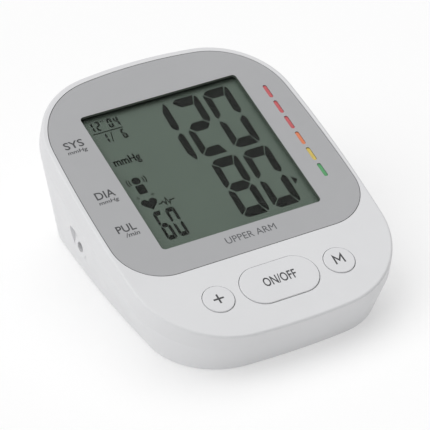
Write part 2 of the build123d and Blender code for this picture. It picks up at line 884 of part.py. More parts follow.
with BuildPart() as battery_contacts:
    # Two plates bridge neighbouring cells at the front, one at the back; the last two are single
    with Locations(*[(x, bay_front, cell_z) for x in (-cell_pitch, cell_pitch)]):
        Box(
            cell_pitch + contact_width, contact_thickness, contact_height,
            align=(Align.CENTER, Align.MIN, Align.CENTER),
        )
    with Locations((0, bay_back, cell_z)):
        Box(
            cell_pitch + contact_width, contact_thickness, contact_height,
            align=(Align.CENTER, Align.MAX, Align.CENTER),
        )
    with Locations(*[(x, bay_back, cell_z) for x in (cell_xs[0], cell_xs[3])]):
        Box(
            contact_width, contact_thickness, contact_height,
            align=(Align.CENTER, Align.MAX, Align.CENTER),
        )
        Box(tag_size, tag_size, tag_size, align=(Align.CENTER, Align.MIN, Align.CENTER))
save("battery_contacts", battery_contacts)

with BuildPart() as battery_springs:
    # Each conical coil is its separate turns, widest at the contact plate
    for i, x in enumerate(cell_xs):
        spring_dir = 1 if i % 2 == 0 else -1
        plate_y = front_plate_y if spring_dir > 0 else back_plate_y
        spring_plane = Plane(origin=(x, plate_y, cell_z), x_dir=(1, 0, 0), z_dir=(0, spring_dir, 0))
        for turn, turn_radius in enumerate(coil_radii):
            with BuildSketch(spring_plane.offset(coil_pitch * turn)):
                Circle(turn_radius)
                Circle(turn_radius - coil_wire_width, mode=Mode.SUBTRACT)
            extrude(amount=coil_wire_height)
save("battery_springs", battery_springs)

# ---------------------------------------------------------------- air socket and lines

with BuildPart() as air_socket:
    # Flange on the scoop's floor and a body through the wall
    with Locations(Location((scoop_floor_x - socket_flange_thickness, socket_y, socket_z), (0, 90, 0))):
        Cylinder(
            socket_body_radius + socket_flange_margin, socket_flange_thickness,
            align=(Align.CENTER, Align.CENTER, Align.MIN),
        )
    with Locations(Location(socket_centre, (0, 90, 0))):
        Cylinder(
            socket_body_radius - socket_body_gap, air_line_x + socket_body_reach - scoop_floor_x,
            align=(Align.CENTER, Align.CENTER, Align.MIN),
        )
    with Locations((air_line_x, socket_y, socket_z)):
        Cylinder(barb_radius, socket_barb_length, align=(Align.CENTER, Align.CENTER, Align.MIN))
    with Locations(Location((scoop_floor_x - socket_flange_thickness, socket_y, socket_z), (0, 90, 0))):
        Cylinder(
            socket_bore_radius, socket_bore_depth,
            align=(Align.CENTER, Align.CENTER, Align.MIN), mode=Mode.SUBTRACT,
        )
    with Locations((air_line_x, socket_y, socket_z - overlap)):
        Cylinder(
            passage_radius, socket_barb_length + cut_margin,
            align=(Align.CENTER, Align.CENTER, Align.MIN), mode=Mode.SUBTRACT,
        )
    with Locations(Location(socket_centre, (0, 90, 0))):
        Cylinder(
            passage_radius, air_line_x - scoop_floor_x + overlap,
            align=(Align.CENTER, Align.CENTER, Align.MIN), mode=Mode.SUBTRACT,
        )
save("air_socket", air_socket)

with BuildPart() as air_manifold:
    manifold_start = (air_line_x, manifold_front, manifold_z)
    manifold_plane = Plane(origin=manifold_start, x_dir=(1, 0, 0), z_dir=(0, 1, 0))
    with BuildSketch(manifold_plane):
        Circle(manifold_radius)
    extrude(amount=manifold_back - manifold_front)
    with BuildSketch(manifold_plane.offset(-barb_length)):
        Circle(barb_radius)
    extrude(amount=manifold_back - manifold_front + 2 * barb_length)
    with BuildSketch(Plane.XY.offset(manifold_z - drop_length)):
        with Locations((air_line_x, valve_y)):
            Circle(barb_radius)
    extrude(amount=drop_length)
    with BuildSketch(Plane.YZ.offset(air_line_x)):
        with Locations((branch_y, manifold_z)):
            Circle(barb_radius)
    extrude(amount=branch_length)
    # Passages
    with BuildSketch(manifold_plane.offset(-2 * barb_length)):
        Circle(passage_radius)
    extrude(amount=manifold_back - manifold_front + 4 * barb_length, mode=Mode.SUBTRACT)
    with BuildSketch(Plane.XY.offset(manifold_z - drop_length - cut_margin)):
        with Locations((air_line_x, valve_y)):
            Circle(passage_radius)
    extrude(amount=drop_length + cut_margin, mode=Mode.SUBTRACT)
    with BuildSketch(Plane.YZ.offset(air_line_x)):
        with Locations((branch_y, manifold_z)):
            Circle(passage_radius)
    extrude(amount=branch_length + cut_margin, mode=Mode.SUBTRACT)
save("air_manifold", air_manifold)

tube_routes = {
    "socket_tube": [
        (air_line_x, socket_y, socket_z + socket_body_radius + tube_gap),
        (air_line_x, socket_y, manifold_z),
        (air_line_x, manifold_front - tube_gap, manifold_z),
    ],
    "valve_tube": [
        (air_line_x, valve_y, valve_top + tube_gap),
        (air_line_x, valve_y, manifold_z - manifold_radius - tube_gap),
    ],
    "pump_tube": [
        (air_line_x, manifold_back + tube_gap, manifold_z),
        (air_line_x, outlet_y, manifold_z),
        (-head_length - outlet_length - tube_gap, outlet_y, manifold_z),
    ],
    "sensor_tube": [
        (air_line_x + manifold_radius + tube_gap, branch_y, manifold_z),
        (sensor_tube_end_x, branch_y, manifold_z),
    ],
}
for tube_name, route in tube_routes.items():
    with BuildPart() as air_tube:
        with BuildLine() as path:
            if len(route) > 2:
                FilletPolyline(*route, radius=tube_bend)
            else:
                Line(*route)
        with BuildSketch(Plane(origin=path.line @ 0, z_dir=path.line % 0)):
            Circle(tube_radius)
            Circle(barb_radius, mode=Mode.SUBTRACT)
        sweep()
    save(tube_name, air_tube)

# ---------------------------------------------------------------- pump

pump_axis_plane = Plane(origin=(0, pump_y, pump_z), x_dir=(0, 1, 0), z_dir=(1, 0, 0))

with BuildPart() as motor_can:
    with BuildSketch(pump_axis_plane):
        Circle(motor_radius)
    extrude(amount=motor_length)
    with BuildSketch(pump_axis_plane):
        Circle(motor_radius - motor_wall)
    extrude(amount=motor_length - motor_wall, mode=Mode.SUBTRACT)
    with BuildSketch(pump_axis_plane):
        Circle(bearing_radius)
    extrude(amount=motor_length + cut_margin, mode=Mode.SUBTRACT)
save("motor_can", motor_can)

with BuildPart() as motor_end_plate:
    with BuildSketch(pump_axis_plane):
        Circle(motor_radius - motor_wall)
        Circle(bearing_radius, mode=Mode.SUBTRACT)
    extrude(amount=end_plate_thickness)
save("motor_end_plate", motor_end_plate)

with BuildPart() as motor_bearings:
    with BuildSketch(pump_axis_plane.offset(-bearing_proud)):
        Circle(bearing_radius)
        Circle(shaft_radius + shaft_clearance, mode=Mode.SUBTRACT)
    extrude(amount=front_bearing_length)
    with BuildSketch(pump_axis_plane.offset(motor_length + bearing_proud - back_bearing_length)):
        Circle(bearing_radius)
        Circle(shaft_radius + shaft_clearance, mode=Mode.SUBTRACT)
    extrude(amount=back_bearing_length)
save("motor_bearings", motor_bearings)

with BuildPart() as motor_magnets:
    with BuildSketch(pump_axis_plane.offset(magnet_start)):
        Circle(motor_radius - motor_wall - magnet_gap)
        Circle(magnet_inner_radius, mode=Mode.SUBTRACT)
        Rectangle(magnet_split, 3 * motor_radius, mode=Mode.SUBTRACT)
    extrude(amount=magnet_length)
save("motor_magnets", motor_magnets)

with BuildPart() as motor_rotor:
    with BuildSketch(pump_axis_plane.offset(-shaft_reach)):
        Circle(shaft_radius)
    extrude(amount=shaft_length)
    # Three-pole armature
    with BuildSketch(pump_axis_plane.offset(armature_start)):
        Circle(armature_radius)
        Circle(armature_rim_radius, mode=Mode.SUBTRACT)
        with PolarLocations(0, 3, start_angle=60):
            with Locations((pole_slot_middle, 0)):
                Rectangle(pole_slot_length, pole_slot_width, mode=Mode.SUBTRACT)
        with PolarLocations(pole_middle, 3):
            Rectangle(pole_length, pole_width)
        Circle(armature_hub_radius)
    extrude(amount=armature_length)
    # Commutator drum
    with BuildSketch(pump_axis_plane.offset(commutator_start)):
        Circle(commutator_radius)
    extrude(amount=commutator_length)
save("motor_rotor", motor_rotor)

with BuildPart() as rotor_windings:
    with BuildSketch(pump_axis_plane.offset(winding_start)):
        with PolarLocations(0, 3):
            with Locations((winding_middle, winding_side), (winding_middle, -winding_side)):
                Rectangle(winding_width, winding_height)
    extrude(amount=winding_length)
save("rotor_windings", rotor_windings)

with BuildPart() as pump_eccentric:
    with BuildSketch(pump_axis_plane.offset(-shaft_reach)):
        with Locations((cam_offset, 0)):
            Circle(cam_radius)
        Circle(shaft_radius, mode=Mode.SUBTRACT)
    extrude(amount=cam_length)
save("pump_eccentric", pump_eccentric)

with BuildPart() as pump_head:
    with BuildSketch(pump_axis_plane.offset(-head_gap)):
        Circle(motor_radius)
    extrude(amount=-head_body_length)
    with BuildSketch(pump_axis_plane.offset(-head_gap - head_floor)):
        Circle(motor_radius - head_wall)
    extrude(amount=head_floor - head_body_length, mode=Mode.SUBTRACT)
    with BuildSketch(pump_axis_plane):
        Circle(head_hole_radius)
    extrude(amount=-2 * head_floor, mode=Mode.SUBTRACT)
save("pump_head", pump_head)

with BuildPart() as pump_diaphragm:
    with BuildSketch(pump_axis_plane.offset(-diaphragm_start)):
        Circle(motor_radius)
    extrude(amount=-diaphragm_thickness)
    # Three rubber cups and their pull stems
    with BuildSketch(pump_axis_plane.offset(-diaphragm_start)):
        with PolarLocations(cup_circle, 3):
            Circle(cup_radius)
    extrude(amount=cup_height)
    with BuildSketch(pump_axis_plane.offset(cup_height - diaphragm_start)):
        with PolarLocations(cup_circle, 3):
            Circle(cup_stem_radius)
    extrude(amount=cup_stem_length)
save("pump_diaphragm", pump_diaphragm)

with BuildPart() as pump_rocker:
    with BuildSketch(pump_axis_plane.offset(-rocker_start)):
        Circle(rocker_radius)
        with PolarLocations(rocker_notch_circle, 3, start_angle=60):
            Circle(rocker_notch_radius, mode=Mode.SUBTRACT)
    extrude(amount=rocker_thickness)
save("pump_rocker", pump_rocker)

cap_start = diaphragm_start + diaphragm_thickness
with BuildPart() as pump_cap:
    with BuildSketch(pump_axis_plane.offset(-cap_start)):
        Circle(motor_radius)
    extrude(amount=cap_start - head_length)
    with BuildSketch(pump_axis_plane.offset(-cap_start)):
        Circle(motor_radius - cap_wall)
    extrude(amount=-cap_hollow, mode=Mode.SUBTRACT)
    # Outlet nozzle, its barb and its passage
    outlet = (-head_length, outlet_y, manifold_z)
    outlet_plane = Plane(origin=outlet, x_dir=(0, 1, 0), z_dir=(-1, 0, 0))
    with BuildSketch(outlet_plane):
        Circle(outlet_radius)
    extrude(amount=outlet_length)
    with BuildSketch(outlet_plane.offset(outlet_length)):
        Circle(barb_radius)
    extrude(amount=outlet_barb_length)
    with BuildSketch(outlet_plane.offset(outlet_length + outlet_barb_length)):
        Circle(passage_radius)
    extrude(amount=-3 * outlet_length, mode=Mode.SUBTRACT)
save("pump_cap", pump_cap)

with BuildPart() as pump_sleeve:
    with BuildSketch(pump_axis_plane.offset(sleeve_start)):
        Circle(motor_radius + sleeve_thickness)
        Circle(motor_radius, mode=Mode.SUBTRACT)
    extrude(amount=sleeve_length)
save("pump_sleeve", pump_sleeve)

# ---------------------------------------------------------------- exhaust valve

winding_floor = valve_floor + yoke_plate
winding_rise = valve_top - 2 * valve_floor - yoke_plate
nozzle_start = valve_top - nozzle_thickness

with BuildPart() as valve_yoke:
    with Locations((air_line_x, valve_y, valve_floor)):
        Box(
            valve_size, valve_size, nozzle_start - valve_floor,
            align=(Align.CENTER, Align.CENTER, Align.MIN),
        )
    with Locations((air_line_x, valve_y, winding_floor)):
        Box(
            2 * valve_size, valve_size - 2 * yoke_side_wall, nozzle_start - winding_floor - yoke_plate,
            align=(Align.CENTER, Align.CENTER, Align.MIN), mode=Mode.SUBTRACT,
        )
    with Locations((air_line_x, valve_y, nozzle_start)):
        Cylinder(coil_inner_radius, 2 * valve_floor, mode=Mode.SUBTRACT)
save("valve_yoke", valve_yoke)

with BuildPart() as valve_coil:
    with BuildSketch(Plane.XY.offset(winding_floor)):
        with Locations((air_line_x, valve_y)):
            Circle(coil_radius)
    extrude(amount=winding_rise)
    with BuildSketch(Plane.XY.offset(winding_floor + yoke_plate)):
        with Locations((air_line_x, valve_y)):
            Circle(coil_inner_radius)
    extrude(amount=winding_rise, mode=Mode.SUBTRACT)
save("valve_coil", valve_coil)

with BuildPart() as valve_plunger:
    with BuildSketch(Plane.XY.offset(valve_floor + plunger_rod_start)):
        with Locations((air_line_x, valve_y)):
            Circle(plunger_rod_radius)
    extrude(amount=plunger_rod_length)
save("valve_plunger", valve_plunger)

# Coil spring between the bottom of the valve's coil and the plunger
valve_spring_start = winding_floor + yoke_plate + valve_spring_wire + slip_fit
valve_spring_end = valve_floor + plunger_rod_start - valve_spring_wire - slip_fit
valve_spring_height = valve_spring_end - valve_spring_start
with BuildPart() as valve_spring:
    with BuildLine():
        coil = Helix(
            pitch=valve_spring_height / valve_spring_turns,
            height=valve_spring_height,
            radius=valve_spring_radius,
            center=(air_line_x, valve_y, valve_spring_start),
        )
    with BuildSketch(Plane(origin=coil @ 0, z_dir=coil % 0)):
        Circle(valve_spring_wire)
    sweep(path=coil, is_frenet=True)
save("valve_spring", valve_spring)

with BuildPart() as valve_nozzle:
    with BuildSketch(Plane.XY.offset(nozzle_start)):
        with Locations((air_line_x, valve_y)):
            Circle(nozzle_radius)
    extrude(amount=nozzle_thickness)
    with BuildSketch(Plane.XY.offset(valve_top)):
        with Locations((air_line_x, valve_y)):
            Circle(barb_radius)
    extrude(amount=nozzle_barb_length)
    # Chamber for the plunger's tip, air passage and side vent
    with BuildSketch(Plane.XY.offset(nozzle_start)):
        with Locations((air_line_x, valve_y)):
            Circle(chamber_radius)
    extrude(amount=chamber_height, mode=Mode.SUBTRACT)
    with BuildSketch(Plane.XY.offset(nozzle_start)):
        with Locations((air_line_x, valve_y)):
            Circle(passage_radius)
    extrude(amount=nozzle_thickness + nozzle_barb_length + cut_margin, mode=Mode.SUBTRACT)
    with BuildSketch(Plane.XZ.offset(-valve_y)):
        with Locations((air_line_x, valve_top - vent_drop)):
            Circle(vent_radius)
    extrude(amount=valve_size, mode=Mode.SUBTRACT)
save("valve_nozzle", valve_nozzle)

# ---------------------------------------------------------------- leads

tag_x = cell_xs[-1]
tag_y = bay_back + tag_size
# Bend points of each lead, from the part it serves to its header on the board
lead_routes = {
    "battery_leads": [
        [
            (tag_x, tag_y, cell_z), (tag_x, tag_y + 3.6, cell_z + 1.0),
            (lead_side_x, 44.6, 16.0), (lead_side_x, 43.0, 24.0),
            (lead_side_x, 32.0, 30.0), (lead_side_x, 22.4, 32.4),
        ],
        [
            (-tag_x, tag_y, cell_z), (-tag_x, tag_y + 3.6, cell_z + 1.0),
            (-lead_side_x, 44.6, 16.0), (-lead_side_x, 40.0, 21.0),
            (-22.0, 30.0, 23.0), (16.0, 27.0, 24.5), (23.5, 22.4, 32.2),
        ],
    ],
    "motor_leads": [
        [(24.1, 40.0, 31.5), (27.4, 40.0, 31.5), (27.4, 38.0, 36.0), (26.2, 33.4, 36.6)],
        [(24.1, 47.0, 33.5), (27.4, 47.0, 33.5), (27.4, 43.0, 37.6), (24.2, 33.4, 36.6)],
    ],
    "valve_leads": [
        [(-33.4, 27.4, valve_top - 3), (-33.4, 27.4, 22), (-31.0, 15.0, 24.5), (-28.8, 10.9, 28.9)],
        [(-33.4, 34.6, valve_top - 3), (-33.4, 34.6, 22), (-30.6, 22.0, 26.5), (-27.0, 10.9, 29.1)],
    ],
}


def bend_radii(route):
    """A radius for each corner, so that its bend takes bend_share of the shorter run beside it."""
    points = [Vector(*p) for p in route]
    radii = []
    for before, corner, after in zip(points, points[1:], points[2:]):
        shorter = min((corner - before).length, (after - corner).length)
        half_turn = radians((corner - before).get_angle(after - corner)) / 2
        radii.append(bend_share * shorter * cos(half_turn) / sin(half_turn))
    return radii


for lead_name, routes in lead_routes.items():
    with BuildPart() as leads:
        for route in routes:
            with BuildLine() as path:
                FilletPolyline(*route, radius=bend_radii(route))
            with BuildSketch(Plane(origin=path.wires()[0] @ 0, z_dir=path.wires()[0] % 0)):
                Circle(lead_radius)
            sweep(path=path.wires()[0])
    save(lead_name, leads)
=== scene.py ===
"""Looks of an upper arm blood pressure monitor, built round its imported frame. Metres, Z up."""

import json
import math

import bmesh
import bpy
from mathutils import Matrix, Vector


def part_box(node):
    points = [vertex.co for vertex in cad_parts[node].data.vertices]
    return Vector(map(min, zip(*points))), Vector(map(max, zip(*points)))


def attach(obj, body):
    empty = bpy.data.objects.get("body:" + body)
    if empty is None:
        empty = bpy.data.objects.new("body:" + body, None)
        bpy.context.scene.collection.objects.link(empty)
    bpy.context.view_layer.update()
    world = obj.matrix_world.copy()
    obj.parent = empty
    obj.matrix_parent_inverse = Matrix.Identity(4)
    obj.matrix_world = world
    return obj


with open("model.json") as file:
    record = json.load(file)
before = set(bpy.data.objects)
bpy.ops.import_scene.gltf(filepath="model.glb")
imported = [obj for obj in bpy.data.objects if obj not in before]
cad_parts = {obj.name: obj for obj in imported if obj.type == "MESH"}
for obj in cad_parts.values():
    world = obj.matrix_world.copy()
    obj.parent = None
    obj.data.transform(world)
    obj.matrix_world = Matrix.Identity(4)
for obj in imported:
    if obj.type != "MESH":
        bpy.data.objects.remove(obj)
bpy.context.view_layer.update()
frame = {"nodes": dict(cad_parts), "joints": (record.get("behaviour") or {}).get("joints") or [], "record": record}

MM = 0.001
CASE = "case"

# ---------------------------------------------------------------- panel coordinates

PRESS_AXIS = Vector(next(j["axis"] for j in frame["joints"] if j["name"] == "power_button_press"))
PANEL_NORMAL = -PRESS_AXIS.normalized()
PANEL_UP = Vector((0, PANEL_NORMAL.z, -PANEL_NORMAL.y))
GLASS_TOP_DEPTH = 2.3 * MM
GLASS_MIDDLE_DEPTH = 3.5 * MM
ARTWORK_LEVEL = 0.01 * MM - GLASS_TOP_DEPTH
WINDOW_SIDE_REACH = 36.0 * MM
WINDOW_END_REACH = 37.0 * MM
# Painted shadow on the display under the window's back edge: where it starts and where it is darkest.
PAINTED_SHADOW_START = 31.5 * MM
PAINTED_SHADOW_END = 36.0 * MM
NOISE_LOW, NOISE_HIGH = 0.3, 0.7
CUT_EDGE_FACING = 0.5
# Painted shade: dark colour for the cut walls round the display window, standing in for the shade in the recess.
CUT_EDGE_PAINTED_SHADE = (0.11, 0.13, 0.11)
# Colour of the painted shadow on the display under the window's back edge.
DISPLAY_PAINTED_SHADOW_COLOR = (0.02, 0.03, 0.02)
TRACK_COLOR = (0.04, 0.22, 0.08)
WRAP_BAND_START = 0.74
WRAP_BAND_COLOR = (0.42, 0.17, 0.06)
CELL_END_REACH = 0.485
CELL_END_COLOR = (0.55, 0.55, 0.55)


def middle(node):
    """Centre of a CAD node's box."""
    low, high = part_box(node)
    return (low + high) / 2


PANEL_CENTRE = middle("lcd_glass") + PANEL_NORMAL * GLASS_MIDDLE_DEPTH


def on_panel(u, v, height=0.0):
    """A point of the sloping panel: u to the right, v up the slope, height above it."""
    return PANEL_CENTRE + Vector((u, 0, 0)) + PANEL_UP * v + PANEL_NORMAL * height


def panel_matrix(u, v, height):
    """Places flat artwork, drawn in X and Y, on the panel."""
    matrix = Matrix((Vector((1, 0, 0)), PANEL_UP, PANEL_NORMAL)).transposed().to_4x4()
    matrix.translation = on_panel(u, v, height)
    return matrix


# ---------------------------------------------------------------- materials

class Shader:
    """A new node material round one Principled shader."""

    def __init__(self, name, color, roughness, **sockets):
        self.material = bpy.data.materials.new(name)
        self.material.use_nodes = True
        self.nodes = self.material.node_tree.nodes
        self.links = self.material.node_tree.links
        self.shader = self.nodes["Principled BSDF"]
        self.shader.inputs["Base Color"].default_value = (*color, 1)
        self.shader.inputs["Roughness"].default_value = roughness
        for socket, value in sockets.items():
            self.shader.inputs[socket.replace("_", " ")].default_value = value
        self.color = color
        self.coordinates = self.nodes.new("ShaderNodeTexCoord").outputs["Object"]

    def link(self, source, target):
        self.links.new(source, target)

    def noise(self, scale, detail=2.0):
        node = self.nodes.new("ShaderNodeTexNoise")
        node.inputs["Scale"].default_value = scale
        node.inputs["Detail"].default_value = detail
        self.link(self.coordinates, node.inputs["Vector"])
        return node.outputs["Fac"]

    def math(self, operation, first, second=None):
        node = self.nodes.new("ShaderNodeMath")
        node.operation = operation
        for index, value in enumerate((first, second)):
            if value is None:
                continue
            if isinstance(value, (int, float)):
                node.inputs[index].default_value = value
            else:
                self.link(value, node.inputs[index])
        return node.outputs[0]

    def spread(self, source, low, high):
        """Maps the range in which most noise lies onto low to high."""
        node = self.nodes.new("ShaderNodeMapRange")
        node.inputs["From Min"].default_value = NOISE_LOW
        node.inputs["From Max"].default_value = NOISE_HIGH
        node.inputs["To Min"].default_value = low
        node.inputs["To Max"].default_value = high
        self.link(source, node.inputs["Value"])
        return node.outputs["Result"]

    def mix(self, factor, first, second):
        """Mixes two colours, each a tuple or a socket."""
        node = self.nodes.new("ShaderNodeMix")
        node.data_type = "RGBA"
        self.link(factor, node.inputs["Factor"])
        for socket, value in ((node.inputs[6], first), (node.inputs[7], second)):
            if isinstance(value, tuple):
                socket.default_value = (*value, 1)
            else:
                self.link(value, socket)
        return node.outputs[2]

    def vary_color(self, scale, amount):
        """Slow, faint lightness drift, as moulded or printed surfaces have."""
        darker = tuple(c * (1 - amount) for c in self.color)
        lighter = tuple(min(c * (1 + amount), 1) for c in self.color)
        result = self.mix(self.spread(self.noise(scale), 0, 1), darker, lighter)
        self.link(result, self.shader.inputs["Base Color"])
        return result

    def vary_roughness(self, scale, low, high):
        self.link(self.spread(self.noise(scale, 3.0), low, high), self.shader.inputs["Roughness"])

    def bump(self, height, depth_mm):
        node = self.nodes.new("ShaderNodeBump")
        node.inputs["Strength"].default_value = 1.0
        node.inputs["Distance"].default_value = depth_mm * MM
        self.link(height, node.inputs["Height"])
        self.link(node.outputs["Normal"], self.shader.inputs["Normal"])

    def axis_value(self, direction, origin=Vector((0, 0, 0))):
        """Distance along a direction from an origin, in metres, over the surface."""
        shift = self.nodes.new("ShaderNodeVectorMath")
        shift.operation = "SUBTRACT"
        self.link(self.coordinates, shift.inputs[0])
        shift.inputs[1].default_value = origin
        dot = self.nodes.new("ShaderNodeVectorMath")
        dot.operation = "DOT_PRODUCT"
        self.link(shift.outputs[0], dot.inputs[0])
        dot.inputs[1].default_value = direction
        return dot.outputs["Value"]


def satin_plastic(name, color, roughness=0.42, grain_mm=0.25, depth_mm=0.004):
    """Injection-moulded plastic with a fine spark-eroded grain."""
    s = Shader(name, color, roughness)
    s.vary_color(28.0, 0.012)
    s.vary_roughness(160.0, roughness - 0.05, roughness + 0.05)
    s.bump(s.noise(1 / (grain_mm * MM), 2.0), depth_mm)
    return s.material


def rubber(name, color, roughness=0.75):
    s = Shader(name, color, roughness)
    s.vary_color(300.0, 0.12)
    s.bump(s.noise(3500.0, 3.0), 0.02)
    return s.material


def metal(name, color, roughness=0.3, grain=(1.0, 12.0, 12.0)):
    """Plated or drawn metal, with fine lines along X."""
    s = Shader(name, color, roughness, Metallic=1.0)
    stretch = s.nodes.new("ShaderNodeMapping")
    stretch.inputs["Scale"].default_value = grain
    s.link(s.coordinates, stretch.inputs["Vector"])
    s.coordinates = stretch.outputs["Vector"]
    s.vary_color(200.0, 0.08)
    s.vary_roughness(400.0, roughness - 0.08, roughness + 0.1)
    s.bump(s.noise(500.0, 3.0), 0.004)
    return s.material


def ink(name, color, roughness=0.5):
    """Screen-printed ink."""
    s = Shader(name, color, roughness)
    s.vary_color(900.0, 0.08)
    s.bump(s.noise(9000.0, 1.0), 0.002)
    return s.material


def faceplate_grey():
    """Grey satin panel whose cut walls round the display window are painted dark, a painted shade for the shade
    inside the recessed window.
    """
    s = Shader("faceplate_grey", (0.395, 0.398, 0.408), 0.38)
    face = s.vary_color(22.0, 0.014)
    s.vary_roughness(240.0, 0.34, 0.42)
    s.bump(s.noise(5200.0, 2.0), 0.003)
    across = s.math("ABSOLUTE", s.axis_value(Vector((1, 0, 0)), PANEL_CENTRE))
    up = s.math("ABSOLUTE", s.axis_value(PANEL_UP, PANEL_CENTRE))
    beside = s.math("LESS_THAN", across, WINDOW_SIDE_REACH)
    near = s.math("MULTIPLY", beside, s.math("LESS_THAN", up, WINDOW_END_REACH))
    facing = s.nodes.new("ShaderNodeVectorMath")
    facing.operation = "DOT_PRODUCT"
    s.link(s.nodes.new("ShaderNodeNewGeometry").outputs["Normal"], facing.inputs[0])
    facing.inputs[1].default_value = PANEL_NORMAL
    # Painted shade: the walls round the display window take the dark cut-edge colour, as the shaded recess looks.
    shaded_wall = s.math("MULTIPLY", near, s.math("LESS_THAN", facing.outputs["Value"], CUT_EDGE_FACING))
    s.link(s.mix(shaded_wall, face, CUT_EDGE_PAINTED_SHADE), s.shader.inputs["Base Color"])
    return s.material


def lcd_surface():
    """Reflective grey-green liquid crystal, with a painted shadow that darkens it just under the window's back
    edge.
    """
    s = Shader("lcd_surface", (0.154, 0.206, 0.165), 0.5, Specular_IOR_Level=0.1)
    base = s.vary_color(60.0, 0.03)
    up = s.axis_value(PANEL_UP, PANEL_CENTRE)
    # Painted shadow: the display darkens towards the window's back edge, where that edge's shadow falls.
    shade = s.nodes.new("ShaderNodeMapRange")
    shade.interpolation_type = "SMOOTHSTEP"
    shade.inputs["From Min"].default_value = PAINTED_SHADOW_START
    shade.inputs["From Max"].default_value = PAINTED_SHADOW_END
    s.link(up, shade.inputs["Value"])
    result = s.mix(shade.outputs["Result"], base, DISPLAY_PAINTED_SHADOW_COLOR)
    s.link(result, s.shader.inputs["Base Color"])
    s.bump(s.noise(7000.0, 2.0), 0.001)
    return s.material


def clear_acrylic():
    s = Shader("clear_acrylic", (0.03, 0.035, 0.03), 0.08, IOR=1.49, Alpha=0.12)
    s.vary_roughness(120.0, 0.06, 0.10)
    return s.material


def circuit_board():
    """Green solder mask over a lattice of copper tracks."""
    s = Shader("circuit_board", (0.012, 0.11, 0.045), 0.35)
    tracks = s.nodes.new("ShaderNodeTexBrick")
    tracks.inputs["Scale"].default_value = 260.0
    tracks.inputs["Mortar Size"].default_value = 0.08
    tracks.inputs["Color1"].default_value = (0, 0, 0, 1)
    tracks.inputs["Color2"].default_value = (0, 0, 0, 1)
    tracks.inputs["Mortar"].default_value = (1, 1, 1, 1)
    s.link(s.coordinates, tracks.inputs["Vector"])
    lines = s.math("MULTIPLY", tracks.outputs["Color"], s.spread(s.noise(90.0), 0, 1))
    s.link(s.mix(lines, s.color, TRACK_COLOR), s.shader.inputs["Base Color"])
    s.bump(lines, 0.03)
    return s.material


def cell_wrap():
    """Dry cell: dark printed wrap with a copper-coloured band at one end and steel ends."""
    s = Shader("cell_wrap", (0.02, 0.025, 0.04), 0.3, Metallic=0.4)
    low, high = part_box("battery_cells")
    along = s.axis_value(Vector((0, 1, 0)), low)
    length = (high - low).y
    band = s.math("GREATER_THAN", along, WRAP_BAND_START * length)
    wrap = s.mix(band, s.color, WRAP_BAND_COLOR)
    from_middle = s.math("ABSOLUTE", s.math("SUBTRACT", along, length / 2))
    ends = s.math("GREATER_THAN", from_middle, CELL_END_REACH * length)
    s.link(s.mix(ends, wrap, CELL_END_COLOR), s.shader.inputs["Base Color"])
    s.bump(s.noise(700.0, 2.0), 0.01)
    return s.material


def silicone_hose():
    s = Shader("silicone_hose", (0.62, 0.64, 0.62), 0.45, Subsurface_Weight=0.15)
    s.shader.inputs["Subsurface Radius"].default_value = (0.002, 0.002, 0.002)
    s.vary_color(300.0, 0.05)
    s.bump(s.noise(2500.0, 2.0), 0.01)
    return s.material


def glossy_mark(name, color):
    """Coloured level mark, slightly pearly moulded plastic."""
    s = Shader(name, color, 0.34, Coat_Weight=0.2)
    s.vary_color(700.0, 0.07)
    s.bump(s.noise(4200.0, 2.0), 0.003)
    return s.material


SHELL_WHITE = (0.735, 0.738, 0.750)
materials = {
    "white_plastic": satin_plastic("shell_white", SHELL_WHITE),
    "button_plastic": satin_plastic("button_white", (0.725, 0.728, 0.742), 0.40, 0.2, 0.003),
    "grey_faceplate": faceplate_grey(),
    "clear_acrylic": clear_acrylic(),
    "lcd": lcd_surface(),
    "red_mark": glossy_mark("mark_red", (0.52, 0.055, 0.065)),
    "orange_mark": glossy_mark("mark_orange", (0.70, 0.17, 0.05)),
    "yellow_mark": glossy_mark("mark_yellow", (0.62, 0.46, 0.06)),
    "green_mark": glossy_mark("mark_green", (0.045, 0.30, 0.09)),
    "black_plastic": satin_plastic("black_plastic", (0.022, 0.022, 0.024), 0.5),
    "grey_plastic": satin_plastic("grey_plastic", (0.36, 0.37, 0.38), 0.48),
    "white_nylon": satin_plastic("white_nylon", (0.66, 0.66, 0.62), 0.38),
    "rubber": rubber("dark_rubber", (0.03, 0.03, 0.032)),
    "silicone": silicone_hose(),
    "steel": metal("plated_steel", (0.56, 0.56, 0.57)),
    "bronze": metal("sintered_bronze", (0.48, 0.30, 0.12), 0.42),
    "copper": metal("copper", (0.70, 0.33, 0.17), 0.3),
    "board_green": circuit_board(),
    "cell_wrap": cell_wrap(),
    "lead_insulation": rubber("lead_insulation", (0.38, 0.02, 0.02), 0.45),
}
for part in frame["record"]["subparts"]:
    slots = frame["nodes"][part["node"]].data.materials
    slots.clear()
    slots.append(materials[part["material_slot"]])

label_ink = ink("label_ink", (0.045, 0.046, 0.050))
mark_ink = ink("soft_label_ink", (0.085, 0.088, 0.095))
segment_ink = ink("segment_ink", (0.002, 0.003, 0.002), 0.5)
segment_ink.node_tree.nodes["Principled BSDF"].inputs["Specular IOR Level"].default_value = 0.0


# ---------------------------------------------------------------- flat artwork

PRINT_THICKNESS = 0.03 * MM
LETTER_EXTRUDE = 0.01
WELD_DISTANCE = 1e-7
LONGEST_CORNER_CUT = 0.45
LEAST_MITRE = 0.35
SEGMENT_ROUNDING = 0.08


def smooth_corners(points, radius, steps=4):
    """A closed outline with each corner rounded to about that radius, or less on short sides."""
    result = []
    count = len(points)
    for i in range(count):
        before, corner, after = (Vector(points[(i + k) % count]) for k in (-1, 0, 1))
        to_before, to_after = before - corner, after - corner
        shorter = (LONGEST_CORNER_CUT * side.length for side in (to_before, to_after))
        cut = min(radius, *shorter)
        start = corner + to_before.normalized() * cut
        end = corner + to_after.normalized() * cut
        for step in range(steps + 1):
            t = step / steps
            result.append(start * (1 - t) ** 2 + corner * (2 * t * (1 - t)) + end * t * t)
    return result


